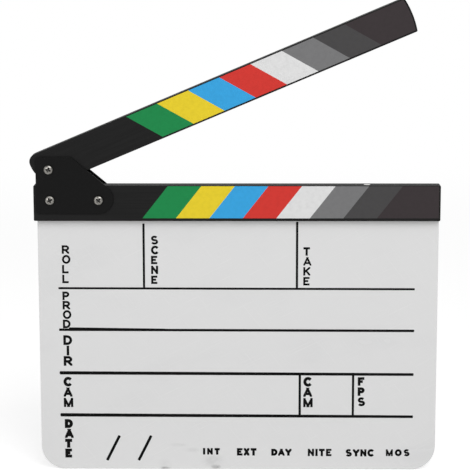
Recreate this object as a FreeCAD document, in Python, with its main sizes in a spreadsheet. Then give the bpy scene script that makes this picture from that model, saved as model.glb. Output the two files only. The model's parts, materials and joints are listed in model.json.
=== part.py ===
import FreeCAD, Part
import math
import os

import Sketcher

# A hand-held clapperboard: a white writing board hangs from a black lower stick, and an upper stick
# claps down on it from a pivot between two hinge plates.
# X runs to the right along the sticks, Z up and Y away from the reader. The origin is the middle of
# the board's bottom edge. Sizes are in millimetres and angles in degrees.

SIZES = (
    # Clap sticks
    ("stick_length", "300", "end to end, both sticks"),
    ("stick_depth", "26.5", "height of the lower stick's striped face"),
    ("stick_thickness", "12", "lower stick, front to back"),
    ("stick_edge_round", "0.4", "rounding along the long edges"),
    ("stick_corner_extra", "0.5", "by which the square end corners are rounder than that"),
    ("stick_gap", "0.2", "gap between the shut sticks"),
    ("stick_shift", "0.7", "middle of the sticks left of the board's middle"),
    ("upper_stick_trim", "0.5", "by which the upper stick is less deep"),
    ("heel_inset", "11.3", "upper stick's end to the pivot"),
    ("heel_corner_round", "6", "upper corner at the pivot end"),
    ("heel_straight", "1.35", "square part of the pivot end, below that corner"),
    ("heel_toe", "1.7", "pivot to where the relieved heel meets the mating edge"),
    ("free_end_radius", "65", "bow of the upper stick's free end"),
    ("free_end_reach", "0.6", "crest of that bow past the lower stick's end"),
    # Hinge layout
    ("pivot_inset", "11.55", "lower stick's end to the pivot"),
    ("pivot_drop", "1.35", "pivot below the upper stick's centre line"),
    ("fixing_inset", "12.25", "lower stick's end to the first fixing"),
    ("fixing_lift", "2.45", "fixings above the lower stick's centre line"),
    ("fixing_spacing", "35.85", "between the two fixings"),
    ("rest_angle", "22.85", "angle of the upper stick as it is stored"),
    # Writing board
    ("board_inset", "1.4", "half of what the board is narrower than the sticks"),
    ("board_face", "191.2", "bare height below the lower stick"),
    ("board_thickness", "3", "acrylic sheet"),
    ("board_corner_round", "18.3", "lower corners"),
    ("board_edge_round", "0.3", "broken edges of the sheet"),
    ("fixing_web", "2.6", "wood between the fixing holes and the board's groove"),
    ("bond_thickness", "0.15", "adhesive around the tongue"),
    # Hinge plates
    ("plate_thickness", "1", "steel sheet"),
    ("plate_side_margin", "9.55", "left edge to the pivot"),
    ("plate_top_margin", "9.3", "top edge above the pivot"),
    ("plate_top_run", "16.5", "pivot to the end of the top edge"),
    ("plate_nose_radius", "11.05", "round end by the second fixing"),
    ("plate_nose_lift", "0.8", "middle of the round end above the second fixing"),
    ("plate_corner_round", "2.5", "other corners"),
    ("plate_edge_round", "0.25", "outer edge"),
    # Screws, washers and nuts
    ("screw_diameter", "4", "shank"),
    ("screw_protrusion", "2", "shank past the nut"),
    ("screw_tip_bevel", "0.4", "end of the shank"),
    ("head_overhang", "1.5", "pan head past the shank"),
    ("head_height", "2.6", "pan head, to its crown"),
    ("head_rim", "1.2", "straight side of the head"),
    ("recess_span", "4.2", "across the cross recess"),
    ("recess_width", "0.95", "one slot of the cross recess"),
    ("recess_depth", "1.5", "below the crown"),
    ("pivot_screw_turn", "20", "how far round the screw was driven"),
    ("left_fixing_screw_turn", "65", "how far round the screw was driven"),
    ("right_fixing_screw_turn", "40", "how far round the screw was driven"),
    ("hole_clearance", "0.15", "around a shank"),
    ("thread_clearance", "0.05", "nut on a shank"),
    ("washer_rim", "2.35", "plain washer, hole to edge"),
    ("washer_thickness", "0.8", "plain washer"),
    ("nut_wall", "1.45", "thread to flat, all nuts"),
    ("nut_crown_inset", "0.2", "bevelled corners, inside the flats"),
    ("nut_height", "3.2", "fixing nuts"),
    ("lock_nut_height", "3.6", "hexagon of the lock nut"),
    ("collar_wall", "0.5", "lock nut's collar around its insert"),
    ("collar_height", "1.5", "lock nut's collar"),
    ("insert_wall", "0.55", "nylon ring in the collar"),
    ("insert_height", "1.2", "nylon ring in the collar"),
    # Pivot bearing
    ("sleeve_wall", "0.85", "pivot sleeve"),
    ("pivot_clearance", "0.05", "stick's bore around the sleeve"),
    ("friction_rim", "3.95", "friction washers, hole to edge"),
    ("friction_thickness", "0.5", "friction washers"),
    ("friction_gap", "0.1", "friction washer to the upper stick"),
    # Magnets in the mating edges
    ("magnet_diameter", "5", "disc"),
    ("magnet_height", "3", "disc"),
    ("magnet_inset", "54", "free end to the magnet"),
    ("magnet_clearance", "0.05", "around the disc in its pocket"),
    # Colour stripes
    ("film_thickness", "0.15", "vinyl"),
    ("film_margin", "1.3", "film to the stick's edges"),
    ("lower_film_lift", "0.85", "lower stick's films above its centre line"),
    ("stripe_offset", "19.55", "hinge plate to the first stripe"),
    ("stripe_lean", "20.8", "sideways run of a stripe across the depth of a stick"),
    ("last_stripe_run", "26.4", "last stripe along the mating edge"),
    # Cuts
    ("overrun", "1", "how far a cutting shape passes the face it cuts"),
)

STRIPES = ("green", "yellow", "blue", "red", "white", "grey", "dark_grey", "black")
HEX_SIDES = 6
CROSS_SLOTS = 2
RIGHT_ANGLE = 90
FULL_TURN = 360
TOLERANCE = 1e-5

X_AXIS = FreeCAD.Vector(1, 0, 0)
Y_AXIS = FreeCAD.Vector(0, 1, 0)
Z_AXIS = FreeCAD.Vector(0, 0, 1)
START, END, CENTRE = range(1, 4)
ORIGIN_POINT = (-1, START)

doc = FreeCAD.newDocument("clapperboard")
sizes = doc.addObject("Spreadsheet::Sheet", "sizes")
for row, (alias, number, note) in enumerate(SIZES, start=1):
    sizes.set(f"A{row}", note)
    sizes.set(f"B{row}", number)
    sizes.setAlias(f"B{row}", alias)
doc.recompute()

# Sizes and places that several pieces share, written in the sheet's names.
SCREW_HOLE = "(sizes.screw_diameter + 2 * sizes.hole_clearance)"
THREAD_HOLE = "(sizes.screw_diameter + 2 * sizes.thread_clearance)"
NUT_FLATS = f"({THREAD_HOLE} + 2 * sizes.nut_wall)"
INSERT_DIAMETER = f"({THREAD_HOLE} + 2 * sizes.insert_wall)"
SLEEVE_DIAMETER = f"({SCREW_HOLE} + 2 * sizes.sleeve_wall)"
PIVOT_BORE = f"({SLEEVE_DIAMETER} + 2 * sizes.pivot_clearance)"
MAGNET_SEAT = "(sizes.magnet_diameter + 2 * sizes.magnet_clearance)"
HALF_STICK = "(sizes.stick_thickness / 2)"
FRONT_SEAT = f"(-{HALF_STICK} - sizes.plate_thickness)"
REAR_SEAT = f"({HALF_STICK} + sizes.plate_thickness)"
NUT_SEAT = f"({REAR_SEAT} + sizes.washer_thickness)"
LOCK_NUT_HEIGHT = "(sizes.lock_nut_height + sizes.collar_height)"
STICK_CORNER = "(sizes.stick_edge_round + sizes.stick_corner_extra)"
UPPER_THICKNESS = "(sizes.stick_thickness - 2 * (sizes.friction_thickness + sizes.friction_gap))"
BOARD_WIDTH = "(sizes.stick_length - 2 * sizes.board_inset)"

UPPER_DEPTH = "(sizes.stick_depth - sizes.upper_stick_trim)"
PIVOT_RISE = f"({UPPER_DEPTH} / 2 - sizes.pivot_drop + sizes.stick_gap)"
FIXING_DROP = "(sizes.stick_depth / 2 - sizes.fixing_lift)"
GROOVE_DEPTH = f"(sizes.stick_depth - {FIXING_DROP} - {SCREW_HOLE} / 2 - sizes.fixing_web)"
TONGUE_DEPTH = f"({GROOVE_DEPTH} - sizes.bond_thickness)"
STICK_LEFT = "(-sizes.stick_length / 2 - sizes.stick_shift)"
STICK_TOP = "(sizes.board_face + sizes.stick_depth)"
PIVOT_X = f"({STICK_LEFT} + sizes.pivot_inset)"
PIVOT_Z = f"({STICK_TOP} + {PIVOT_RISE})"
FIRST_FIXING_X = f"({STICK_LEFT} + sizes.fixing_inset)"
SECOND_FIXING_X = f"({FIRST_FIXING_X} + sizes.fixing_spacing)"
FIXING_Z = f"({STICK_TOP} - {FIXING_DROP})"
MAGNET_X = "(sizes.stick_length - sizes.magnet_inset)"

UPPER_BOTTOM = f"(sizes.stick_gap - {PIVOT_RISE})"
UPPER_TOP = f"({UPPER_BOTTOM} + {UPPER_DEPTH})"
UPPER_MIDDLE = f"({UPPER_BOTTOM} + {UPPER_DEPTH} / 2)"
HEEL_TOP = f"({UPPER_TOP} - sizes.heel_corner_round - sizes.heel_straight)"
UPPER_END = "(sizes.stick_length - sizes.pivot_inset + sizes.free_end_reach)"
UPPER_MAGNET_X = f"({MAGNET_X} - sizes.pivot_inset)"
FREE_END_CENTRE = f"({UPPER_END} - sizes.free_end_radius)"

PLATE_END = "(sizes.fixing_inset + sizes.fixing_spacing + sizes.plate_nose_radius)"
STRIPE_START = f"({PLATE_END} + sizes.stripe_offset + sizes.stripe_lean)"
LAST_STRIPE = "(sizes.stick_length - sizes.film_margin - sizes.last_stripe_run)"
STRIPE_PITCH = f"(({LAST_STRIPE} - {STRIPE_START}) / {len(STRIPES) - 1})"

subparts = []


def size(expression):
    """Value of an expression in the sheet's names."""
    return float(sizes.evalExpression(expression))


def place(item, x="0", y="0", z="0", axis=X_AXIS, angle="0"):
    """Bind where a sub-part sits and how it is turned."""
    item.Placement = FreeCAD.Placement(FreeCAD.Vector(), FreeCAD.Rotation(axis, size(angle)))
    item.setExpression("Placement.Base.x", x)
    item.setExpression("Placement.Base.y", y)
    item.setExpression("Placement.Base.z", z)
    if angle != "0":
        item.setExpression("Placement.Rotation.Angle", angle)


def place_on_lower_stick(item):
    """The lower stick's own frame starts at its left end, on its top edge."""
    place(item, x=STICK_LEFT, z=STICK_TOP)


def place_on_upper_stick(item):
    """The upper stick's own frame starts at the pivot and opens with the stick."""
    place(item, x=PIVOT_X, z=PIVOT_Z, axis=Y_AXIS, angle="-sizes.rest_angle")


def keep(item, label):
    """Name a finished sub-part and list it for writing."""
    item.Label = label
    subparts.append(item)


def new_body(label):
    return doc.addObject("PartDesign::Body", label + "_body")


def sketch_on(body, plane, offset="0"):
    """Sketch on one of the body's own planes, raised along its normal."""
    sketch = body.newObject("Sketcher::SketchObject", body.Name + "_sketch")
    support = next(item for item in body.Origin.OriginFeatures if item.Role == plane)
    sketch.AttachmentSupport = [(support, "")]
    sketch.MapMode = "FlatFace"
    sketch.setExpression("AttachmentOffset.Base.z", offset)
    return sketch


def relate(sketch, kind, *where):
    """Add one constraint that has no size."""
    sketch.addConstraint(Sketcher.Constraint(kind, *where))


def hold(sketch, kind, *where, to):
    """Add one dimension and bind it."""
    index = sketch.addConstraint(Sketcher.Constraint(kind, *where, size(to)))
    sketch.setExpression(f"Constraints[{index}]", to)


def hold_point(sketch, curve, end, x, y):
    """Dimension a point of a curve from the sketch's origin."""
    hold(sketch, "DistanceX", *ORIGIN_POINT, curve, end, to=x)
    hold(sketch, "DistanceY", *ORIGIN_POINT, curve, end, to=y)


def point(x, y):
    return FreeCAD.Vector(size(x), size(y), 0)


def line(sketch, first, last):
    return sketch.addGeometry(Part.LineSegment(first, last), False)


def arc(sketch, centre, first, last):
    """Anticlockwise arc about a centre, from one point towards another."""
    angles = [math.atan2(end.y - centre.y, end.x - centre.x) for end in (first, last)]
    whole = Part.Circle(centre, Z_AXIS, (first - centre).Length)
    return sketch.addGeometry(Part.ArcOfCircle(whole, *angles), False)


def circle(sketch, x, y, diameter):
    whole = Part.Circle(point(x, y), Z_AXIS, size(diameter) / 2)
    index = sketch.addGeometry(whole, False)
    hold_point(sketch, index, CENTRE, x, y)
    hold(sketch, "Diameter", index, to=diameter)


def polygon(sketch, corners):
    """Closed outline through corners, each corner a pair of expressions."""
    points = [point(x, y) for x, y in corners]
    sides = [line(sketch, first, last) for first, last in zip(points, points[1:] + points[:1])]
    for this, following in zip(sides, sides[1:] + sides[:1]):
        relate(sketch, "Coincident", this, END, following, START)
    for this, (x, y) in zip(sides, corners):
        hold_point(sketch, this, START, x, y)


def rectangle(sketch, left, right, bottom, top):
    polygon(sketch, [(left, bottom), (right, bottom), (right, top), (left, top)])


def pad(body, sketch, length, side="One side", reverse=False):
    feature = body.newObject("PartDesign::Pad", body.Name + "_pad")
    feature.Profile = sketch
    feature.SideType = side
    feature.Reversed = reverse
    feature.setExpression("Length", length)
    doc.recompute()
    return feature


def pocket(body, sketch, depth=None, reverse=False):
    """Cut a sketch into the body: to a depth, or right through both ways."""
    feature = body.newObject("PartDesign::Pocket", body.Name + "_pocket")
    feature.Profile = sketch
    feature.Reversed = reverse
    if depth is None:
        feature.SideType = "Symmetric"
        feature.Type = "ThroughAll"
    else:
        feature.setExpression("Length", depth)
    doc.recompute()
    return feature


def round_edges(body, feature, chosen, radius):
    """Fillet the edges of a feature for which chosen(edge) is true."""
    names = [f"Edge{number}" for number, edge in enumerate(feature.Shape.Edges, start=1) if chosen(edge)]
    fillet = body.newObject("PartDesign::Fillet", body.Name + "_fillet")
    fillet.Base = (feature, names)
    fillet.setExpression("Radius", radius)
    doc.recompute()
    return fillet


def stands_at(*corners):
    """Choose the edges that run front to back through one of the given corners."""
    places = [point(x, z) for x, z in corners]

    def chosen(edge):
        box = edge.BoundBox
        upright = max(box.XLength, box.ZLength) < TOLERANCE
        return upright and any(math.hypot(box.XMin - p.x, box.ZMin - p.y) < TOLERANCE for p in places)

    return chosen


def lies_flat(edge):
    """Choose the edges in faces that look straight to the front or back."""
    return edge.BoundBox.YLength < TOLERANCE


def lies_at(y):
    """Choose the edges in one such face."""
    return lambda edge: lies_flat(edge) and abs(edge.BoundBox.YMin - size(y)) < TOLERANCE


def cylinder(name, diameter, length):
    item = doc.addObject("Part::Cylinder", name)
    item.setExpression("Radius", f"{diameter} / 2")
    item.setExpression("Height", length)
    return item


def cut(name, base, tool):
    item = doc.addObject("Part::Cut", name)
    item.Base = base
    item.Tool = tool
    return item


def bored(name, base, diameter, length):
    """Bore a shape that stands on its own origin, with the cutter past both ends."""
    bore = cylinder(name + "_bore", diameter, f"{length} + 2 * sizes.overrun")
    place(bore, z="-sizes.overrun")
    return cut(name, base, bore)


def face_back(item, x, y, z):
    """Turn a piece made along its own Z axis to run front to back, and place it."""
    place(item, x, y, z, angle=f"-{RIGHT_ANGLE}")


def make_ring(label, outside, inside, length, x, y, z):
    """Flat washer or sleeve."""
    item = bored(label, cylinder(label + "_blank", outside, length), inside, length)
    face_back(item, x, y, z)
    keep(item, label)


def make_writing_board():
    """Acrylic sheet; its square top edge is the tongue that the lower stick holds."""
    left, right = f"-{BOARD_WIDTH} / 2", f"{BOARD_WIDTH} / 2"
    body = new_body("writing_board")
    outline = sketch_on(body, "XZ_Plane")
    rectangle(outline, left, right, "0", f"sizes.board_face + {TONGUE_DEPTH}")
    sheet = pad(body, outline, "sizes.board_thickness", side="Symmetric")
    lower_corners = stands_at((left, "0"), (right, "0"))
    rounded = round_edges(body, sheet, lower_corners, "sizes.board_corner_round")
    round_edges(body, rounded, lies_flat, "sizes.board_edge_round")
    place(body)
    keep(body, "writing_board")


def make_board_bond():
    """Adhesive that lines the groove around the tongue."""
    width = "(sizes.board_thickness + 2 * sizes.bond_thickness)"
    blank = doc.addObject("Part::Box", "bond_blank")
    blank.setExpression("Length", BOARD_WIDTH)
    blank.setExpression("Width", width)
    blank.setExpression("Height", GROOVE_DEPTH)
    tongue = doc.addObject("Part::Box", "bond_tongue")
    tongue.setExpression("Length", f"{BOARD_WIDTH} + 2 * sizes.overrun")
    tongue.setExpression("Width", "sizes.board_thickness")
    tongue.setExpression("Height", f"{TONGUE_DEPTH} + sizes.overrun")
    place(tongue, x="-sizes.overrun", y="sizes.bond_thickness", z="-sizes.overrun")
    item = cut("board_bond", blank, tongue)
    place(item, x=f"-{BOARD_WIDTH} / 2", y=f"-{width} / 2", z="sizes.board_face")
    keep(item, "board_bond")


def make_lower_stick():
    """Square bar with a groove for the board, two fixing holes and a magnet pocket."""
    left, right, bottom, top = "0", "sizes.stick_length", "-sizes.stick_depth", "0"
    body = new_body("lower_stick")
    outline = sketch_on(body, "XZ_Plane")
    rectangle(outline, left, right, bottom, top)
    bar = pad(body, outline, "sizes.stick_thickness", side="Symmetric")
    corners = stands_at((left, bottom), (right, bottom), (right, top), (left, top))
    rounded = round_edges(body, bar, corners, STICK_CORNER)
    round_edges(body, rounded, lies_flat, "sizes.stick_edge_round")

    half_groove = "(sizes.board_thickness / 2 + sizes.bond_thickness)"
    section = sketch_on(body, "YZ_Plane")
    groove_mouth, groove_floor = f"{bottom} - sizes.overrun", f"{bottom} + {GROOVE_DEPTH}"
    rectangle(section, f"-{half_groove}", half_groove, groove_mouth, groove_floor)
    pocket(body, section)

    holes = sketch_on(body, "XZ_Plane")
    for x in ("sizes.fixing_inset", "sizes.fixing_inset + sizes.fixing_spacing"):
        circle(holes, x, f"-{FIXING_DROP}", SCREW_HOLE)
    pocket(body, holes)

    seat = sketch_on(body, "XY_Plane")
    circle(seat, MAGNET_X, "0", MAGNET_SEAT)
    pocket(body, seat, "sizes.magnet_height")
    place_on_lower_stick(body)
    keep(body, "lower_stick")


def bow_corner(radius, edge):
    """Where a bow about the free end's centre meets a long edge."""
    return f"({FREE_END_CENTRE} + sqrt({radius}^2 - ({edge} - {UPPER_MIDDLE})^2))"


def bowed_end(sketch, radius, bottom, top, base_from, crest_to):
    """Two long edges with the bowed free end between them; gives the edges."""
    low, high = (point(bow_corner(radius, edge), edge) for edge in (bottom, top))
    base = line(sketch, point(base_from, bottom), low)
    crest = line(sketch, high, point(crest_to, top))
    bow = arc(sketch, point(FREE_END_CENTRE, UPPER_MIDDLE), low, high)
    relate(sketch, "Coincident", base, END, bow, START)
    relate(sketch, "Coincident", bow, END, crest, START)
    relate(sketch, "Horizontal", base)
    relate(sketch, "Horizontal", crest)
    hold_point(sketch, base, START, base_from, bottom)
    hold_point(sketch, crest, END, crest_to, top)
    hold_point(sketch, bow, CENTRE, FREE_END_CENTRE, UPPER_MIDDLE)
    hold(sketch, "Radius", bow, to=radius)
    return base, crest


def make_upper_stick():
    """Bar with a heel relieved to clear the lower stick, and a bowed free end."""
    left, radius = "-sizes.heel_inset", "sizes.free_end_radius"
    body = new_body("upper_stick")
    outline = sketch_on(body, "XZ_Plane")
    base, crest = bowed_end(outline, radius, UPPER_BOTTOM, UPPER_TOP, "sizes.heel_toe", left)
    shoulder, toe = point(left, HEEL_TOP), point("sizes.heel_toe", UPPER_BOTTOM)
    run = toe - shoulder
    heel_radius = run.Length**2 / (2 * run.x)
    side = line(outline, point(left, UPPER_TOP), shoulder)
    heel = arc(outline, shoulder + X_AXIS * heel_radius, shoulder, toe)
    relate(outline, "Coincident", crest, END, side, START)
    relate(outline, "Vertical", side)
    relate(outline, "Tangent", side, END, heel, START)
    relate(outline, "Coincident", heel, END, base, START)
    hold(outline, "DistanceY", *ORIGIN_POINT, heel, START, to=HEEL_TOP)

    bar = pad(body, outline, UPPER_THICKNESS, side="Symmetric")
    rounded = round_edges(body, bar, stands_at((left, UPPER_TOP)), "sizes.heel_corner_round")
    bow_corners = [(bow_corner(radius, edge), edge) for edge in (UPPER_BOTTOM, UPPER_TOP)]
    other_corners = stands_at(*bow_corners, ("sizes.heel_toe", UPPER_BOTTOM))
    rounded = round_edges(body, rounded, other_corners, STICK_CORNER)
    round_edges(body, rounded, lies_flat, "sizes.stick_edge_round")

    bore = sketch_on(body, "XZ_Plane")
    circle(bore, "0", "0", PIVOT_BORE)
    pocket(body, bore)

    seat = sketch_on(body, "XY_Plane", UPPER_BOTTOM)
    circle(seat, UPPER_MAGNET_X, "0", MAGNET_SEAT)
    pocket(body, seat, "sizes.magnet_height", reverse=True)
    place_on_upper_stick(body)
    keep(body, "upper_stick")


def make_hinge_plate(label, inner_face, outer_face, reverse):
    """Steel plate on one side of the sticks, with a round nose by the second fixing."""
    left, top, top_run = "-sizes.plate_side_margin", "sizes.plate_top_margin", "sizes.plate_top_run"
    first_x, fixing_z = "(sizes.fixing_inset - sizes.pivot_inset)", f"-({PIVOT_RISE} + {FIXING_DROP})"
    nose_x, nose_z = f"({first_x} + sizes.fixing_spacing)", f"({fixing_z} + sizes.plate_nose_lift)"
    bottom = f"({nose_z} - sizes.plate_nose_radius)"
    body = new_body(label)
    outline = sketch_on(body, "XZ_Plane", f"-{inner_face}")
    top_left, top_right = point(left, top), point(top_run, top)
    bottom_left, nose_low = point(left, bottom), point(nose_x, bottom)
    nose, radius = point(nose_x, nose_z), size("sizes.plate_nose_radius")
    reach = nose - top_right
    slope = math.atan2(reach.y, reach.x) + math.asin(radius / reach.Length)
    nose_high = nose + FreeCAD.Vector(-math.sin(slope), math.cos(slope), 0) * radius

    side = line(outline, bottom_left, top_left)
    crest = line(outline, top_left, top_right)
    slant = line(outline, top_right, nose_high)
    base = line(outline, bottom_left, nose_low)
    front = arc(outline, nose, nose_low, nose_high)
    relate(outline, "Coincident", side, END, crest, START)
    relate(outline, "Coincident", crest, END, slant, START)
    relate(outline, "Coincident", side, START, base, START)
    relate(outline, "Tangent", slant, END, front, END)
    relate(outline, "Tangent", base, END, front, START)
    relate(outline, "Vertical", side)
    relate(outline, "Horizontal", crest)
    relate(outline, "Horizontal", base)
    hold_point(outline, crest, START, left, top)
    hold(outline, "DistanceX", *ORIGIN_POINT, crest, END, to=top_run)
    hold_point(outline, front, CENTRE, nose_x, nose_z)
    hold(outline, "Radius", front, to="sizes.plate_nose_radius")
    for x, z in (("0", "0"), (first_x, fixing_z), (nose_x, fixing_z)):
        circle(outline, x, z, SCREW_HOLE)

    blank = pad(body, outline, "sizes.plate_thickness", reverse=reverse)
    corners = stands_at((left, top), (top_run, top), (left, bottom))
    rounded = round_edges(body, blank, corners, "sizes.plate_corner_round")
    round_edges(body, rounded, lies_at(outer_face), "sizes.plate_edge_round")
    place(body, x=PIVOT_X, z=PIVOT_Z)
    keep(body, label)


def make_pivot_bearing():
    """Sleeve clamped between the plates, with a friction washer on each side of the stick."""
    make_ring("pivot_sleeve", SLEEVE_DIAMETER, SCREW_HOLE, "sizes.stick_thickness",
              PIVOT_X, f"-{HALF_STICK}", PIVOT_Z)
    outside = f"({PIVOT_BORE} + 2 * sizes.friction_rim)"
    for label, y in (("front_friction_washer", f"-{HALF_STICK}"),
                     ("rear_friction_washer", f"{HALF_STICK} - sizes.friction_thickness")):
        make_ring(label, outside, PIVOT_BORE, "sizes.friction_thickness", PIVOT_X, y, PIVOT_Z)


def make_screw(label, nut_height, x, z):
    """Pan head screw with a cross recess; its head bears on the front plate."""
    shank = "(sizes.screw_diameter / 2)"
    head = f"({shank} + sizes.head_overhang)"
    length = f"({NUT_SEAT} - {FRONT_SEAT} + {nut_height} + sizes.screw_protrusion)"
    body = new_body(label)
    profile = sketch_on(body, "XY_Plane")
    bevel = "sizes.screw_tip_bevel"
    path = [(head, "-sizes.head_rim"), (head, "0"), (shank, "0"),
            (shank, f"{length} - {bevel}"), (f"{shank} - {bevel}", length), ("0", length)]
    points = [point(across, along) for across, along in path]
    crown = point("0", "-sizes.head_height")
    sides = [line(profile, first, last) for first, last in zip(points, points[1:] + [crown])]
    dome = points[0] - crown
    dome_centre = crown + Y_AXIS * (dome.Length**2 / (2 * dome.y))
    cap = arc(profile, dome_centre, crown, points[0])
    for this, following in zip(sides, sides[1:]):
        relate(profile, "Coincident", this, END, following, START)
    relate(profile, "Coincident", sides[-1], END, cap, START)
    relate(profile, "Coincident", cap, END, sides[0], START)
    for this, (across, along) in zip(sides, path):
        hold_point(profile, this, START, across, along)
    hold_point(profile, cap, START, "0", "-sizes.head_height")
    hold(profile, "DistanceX", *ORIGIN_POINT, cap, CENTRE, to="0")
    turned = body.newObject("PartDesign::Revolution", body.Name + "_turned")
    turned.Profile = profile
    turned.ReferenceAxis = (profile, ["V_Axis"])
    turned.Angle = FULL_TURN
    doc.recompute()

    slot = sketch_on(body, "XZ_Plane", "sizes.head_height")
    half_span, half_width = "sizes.recess_span / 2", "sizes.recess_width / 2"
    rectangle(slot, f"-{half_span}", half_span, f"-{half_width}", half_width)
    first_slot = pocket(body, slot, "sizes.recess_depth")
    cross = body.newObject("PartDesign::PolarPattern", body.Name + "_cross")
    cross.Originals = [first_slot]
    cross.Axis = (slot, ["N_Axis"])
    cross.Angle = RIGHT_ANGLE
    cross.Occurrences = CROSS_SLOTS
    body.Tip = cross
    place(body, x, FRONT_SEAT, z, axis=Y_AXIS, angle=f"sizes.{label}_turn")
    keep(body, label)


def nut_hexagon(name, height):
    """Hexagon whose corners are bevelled on the side away from the work."""
    prism = doc.addObject("Part::Prism", name + "_prism")
    prism.Polygon = HEX_SIDES
    prism.setExpression("Circumradius", f"{NUT_FLATS} / sqrt(3)")
    prism.setExpression("Height", height)
    crown = f"({NUT_FLATS} / 2 - sizes.nut_crown_inset)"
    bevel = doc.addObject("Part::Cone", name + "_bevel")
    bevel.setExpression("Radius1", f"{crown} + {height} * sqrt(3)")
    bevel.setExpression("Radius2", crown)
    bevel.setExpression("Height", height)
    hexagon = doc.addObject("Part::Common", name + "_hexagon")
    hexagon.Base = prism
    hexagon.Tool = bevel
    return hexagon


def make_fixing_nut(label, height, x, z):
    item = bored(label, nut_hexagon(label, height), THREAD_HOLE, height)
    face_back(item, x, NUT_SEAT, z)
    keep(item, label)


def make_pivot_nut():
    """Lock nut with a collar, and the nylon ring that sits in the collar."""
    collar_diameter = f"({INSERT_DIAMETER} + 2 * sizes.collar_wall)"
    whole = doc.addObject("Part::Fuse", "pivot_nut_whole")
    whole.Base = nut_hexagon("pivot_nut", "sizes.lock_nut_height")
    whole.Tool = cylinder("pivot_nut_collar", collar_diameter, LOCK_NUT_HEIGHT)
    threaded = bored("pivot_nut_threaded", whole, THREAD_HOLE, LOCK_NUT_HEIGHT)
    insert_base = f"({LOCK_NUT_HEIGHT} - sizes.insert_height)"
    room = cylinder("pivot_nut_room", INSERT_DIAMETER, "sizes.insert_height + sizes.overrun")
    place(room, z=insert_base)
    item = cut("pivot_nut", threaded, room)
    face_back(item, PIVOT_X, NUT_SEAT, PIVOT_Z)
    keep(item, "pivot_nut")
    make_ring("pivot_nut_insert", INSERT_DIAMETER, THREAD_HOLE, "sizes.insert_height",
              PIVOT_X, f"{NUT_SEAT} + {insert_base}", PIVOT_Z)


def make_magnet(label, x, face, reverse, settle):
    """Disc set flush in a stick's mating edge."""
    body = new_body(label)
    outline = sketch_on(body, "XY_Plane", face)
    circle(outline, x, "0", "sizes.magnet_diameter")
    pad(body, outline, "sizes.magnet_height", reverse=reverse)
    settle(body)
    keep(body, label)


def stripe_left(number, away):
    """Start of a stripe, from the lower stick's end, at some way from the mating edge."""
    lean = f"sizes.stripe_lean * {away} / sizes.stick_depth"
    return f"({STRIPE_START} + {number} * {STRIPE_PITCH} - {lean})"


def make_lower_stripes():
    """Slanted films on the lower stick; the last one ends square."""
    near = "(sizes.film_margin - sizes.lower_film_lift)"
    far = "(sizes.stick_depth - sizes.film_margin - sizes.lower_film_lift)"
    inner, outer = f"-{near}", f"-{far}"
    end = "(sizes.stick_length - sizes.film_margin)"
    for number, colour in enumerate(STRIPES):
        left, right = stripe_left(number, near), stripe_left(number + 1, near)
        far_left, far_right = stripe_left(number, far), stripe_left(number + 1, far)
        if number + 1 == len(STRIPES):
            right = far_right = end
        body = new_body(f"lower_stripe_{colour}")
        outline = sketch_on(body, "XZ_Plane", HALF_STICK)
        polygon(outline, [(far_left, outer), (far_right, outer), (right, inner), (left, inner)])
        pad(body, outline, "sizes.film_thickness")
        place_on_lower_stick(body)
        keep(body, f"lower_stripe_{colour}")


def make_upper_stripes():
    """Slanted films on the upper stick; the last one follows the bowed free end."""
    near, far = "sizes.film_margin", "(sizes.stick_depth - sizes.film_margin)"
    inner, outer = f"({UPPER_BOTTOM} + {near})", f"({UPPER_BOTTOM} + {far})"
    for number, colour in enumerate(STRIPES):
        left, right, far_left, far_right = (
            f"({stripe_left(start, away)} - sizes.pivot_inset)"
            for away in (near, far) for start in (number, number + 1))
        body = new_body(f"upper_stripe_{colour}")
        outline = sketch_on(body, "XZ_Plane", f"{UPPER_THICKNESS} / 2")
        if number + 1 < len(STRIPES):
            polygon(outline, [(left, inner), (right, inner), (far_right, outer), (far_left, outer)])
        else:
            bow_radius = "(sizes.free_end_radius - sizes.film_margin)"
            base, crest = bowed_end(outline, bow_radius, inner, outer, left, far_left)
            side = line(outline, point(far_left, outer), point(left, inner))
            relate(outline, "Coincident", crest, END, side, START)
            relate(outline, "Coincident", side, END, base, START)
        pad(body, outline, "sizes.film_thickness")
        place_on_upper_stick(body)
        keep(body, f"upper_stripe_{colour}")


make_writing_board()
make_board_bond()
make_lower_stick()
make_upper_stick()
make_hinge_plate("front_hinge_plate", f"(-{HALF_STICK})", FRONT_SEAT, reverse=False)
make_hinge_plate("rear_hinge_plate", HALF_STICK, REAR_SEAT, reverse=True)
make_pivot_bearing()

BOLTS = (
    ("pivot", LOCK_NUT_HEIGHT, PIVOT_X, PIVOT_Z),
    ("left_fixing", "sizes.nut_height", FIRST_FIXING_X, FIXING_Z),
    ("right_fixing", "sizes.nut_height", SECOND_FIXING_X, FIXING_Z),
)
WASHER_DIAMETER = f"({SCREW_HOLE} + 2 * sizes.washer_rim)"
for bolt, nut_height, x, z in BOLTS:
    make_screw(f"{bolt}_screw", nut_height, x, z)
    make_ring(f"{bolt}_washer", WASHER_DIAMETER, SCREW_HOLE, "sizes.washer_thickness", x, REAR_SEAT, z)
make_pivot_nut()
for bolt, nut_height, x, z in BOLTS[1:]:
    make_fixing_nut(f"{bolt}_nut", nut_height, x, z)

make_magnet("lower_magnet", MAGNET_X, "0", True, place_on_lower_stick)
make_magnet("upper_magnet", UPPER_MAGNET_X, UPPER_BOTTOM, False, place_on_upper_stick)
make_lower_stripes()
make_upper_stripes()

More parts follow.
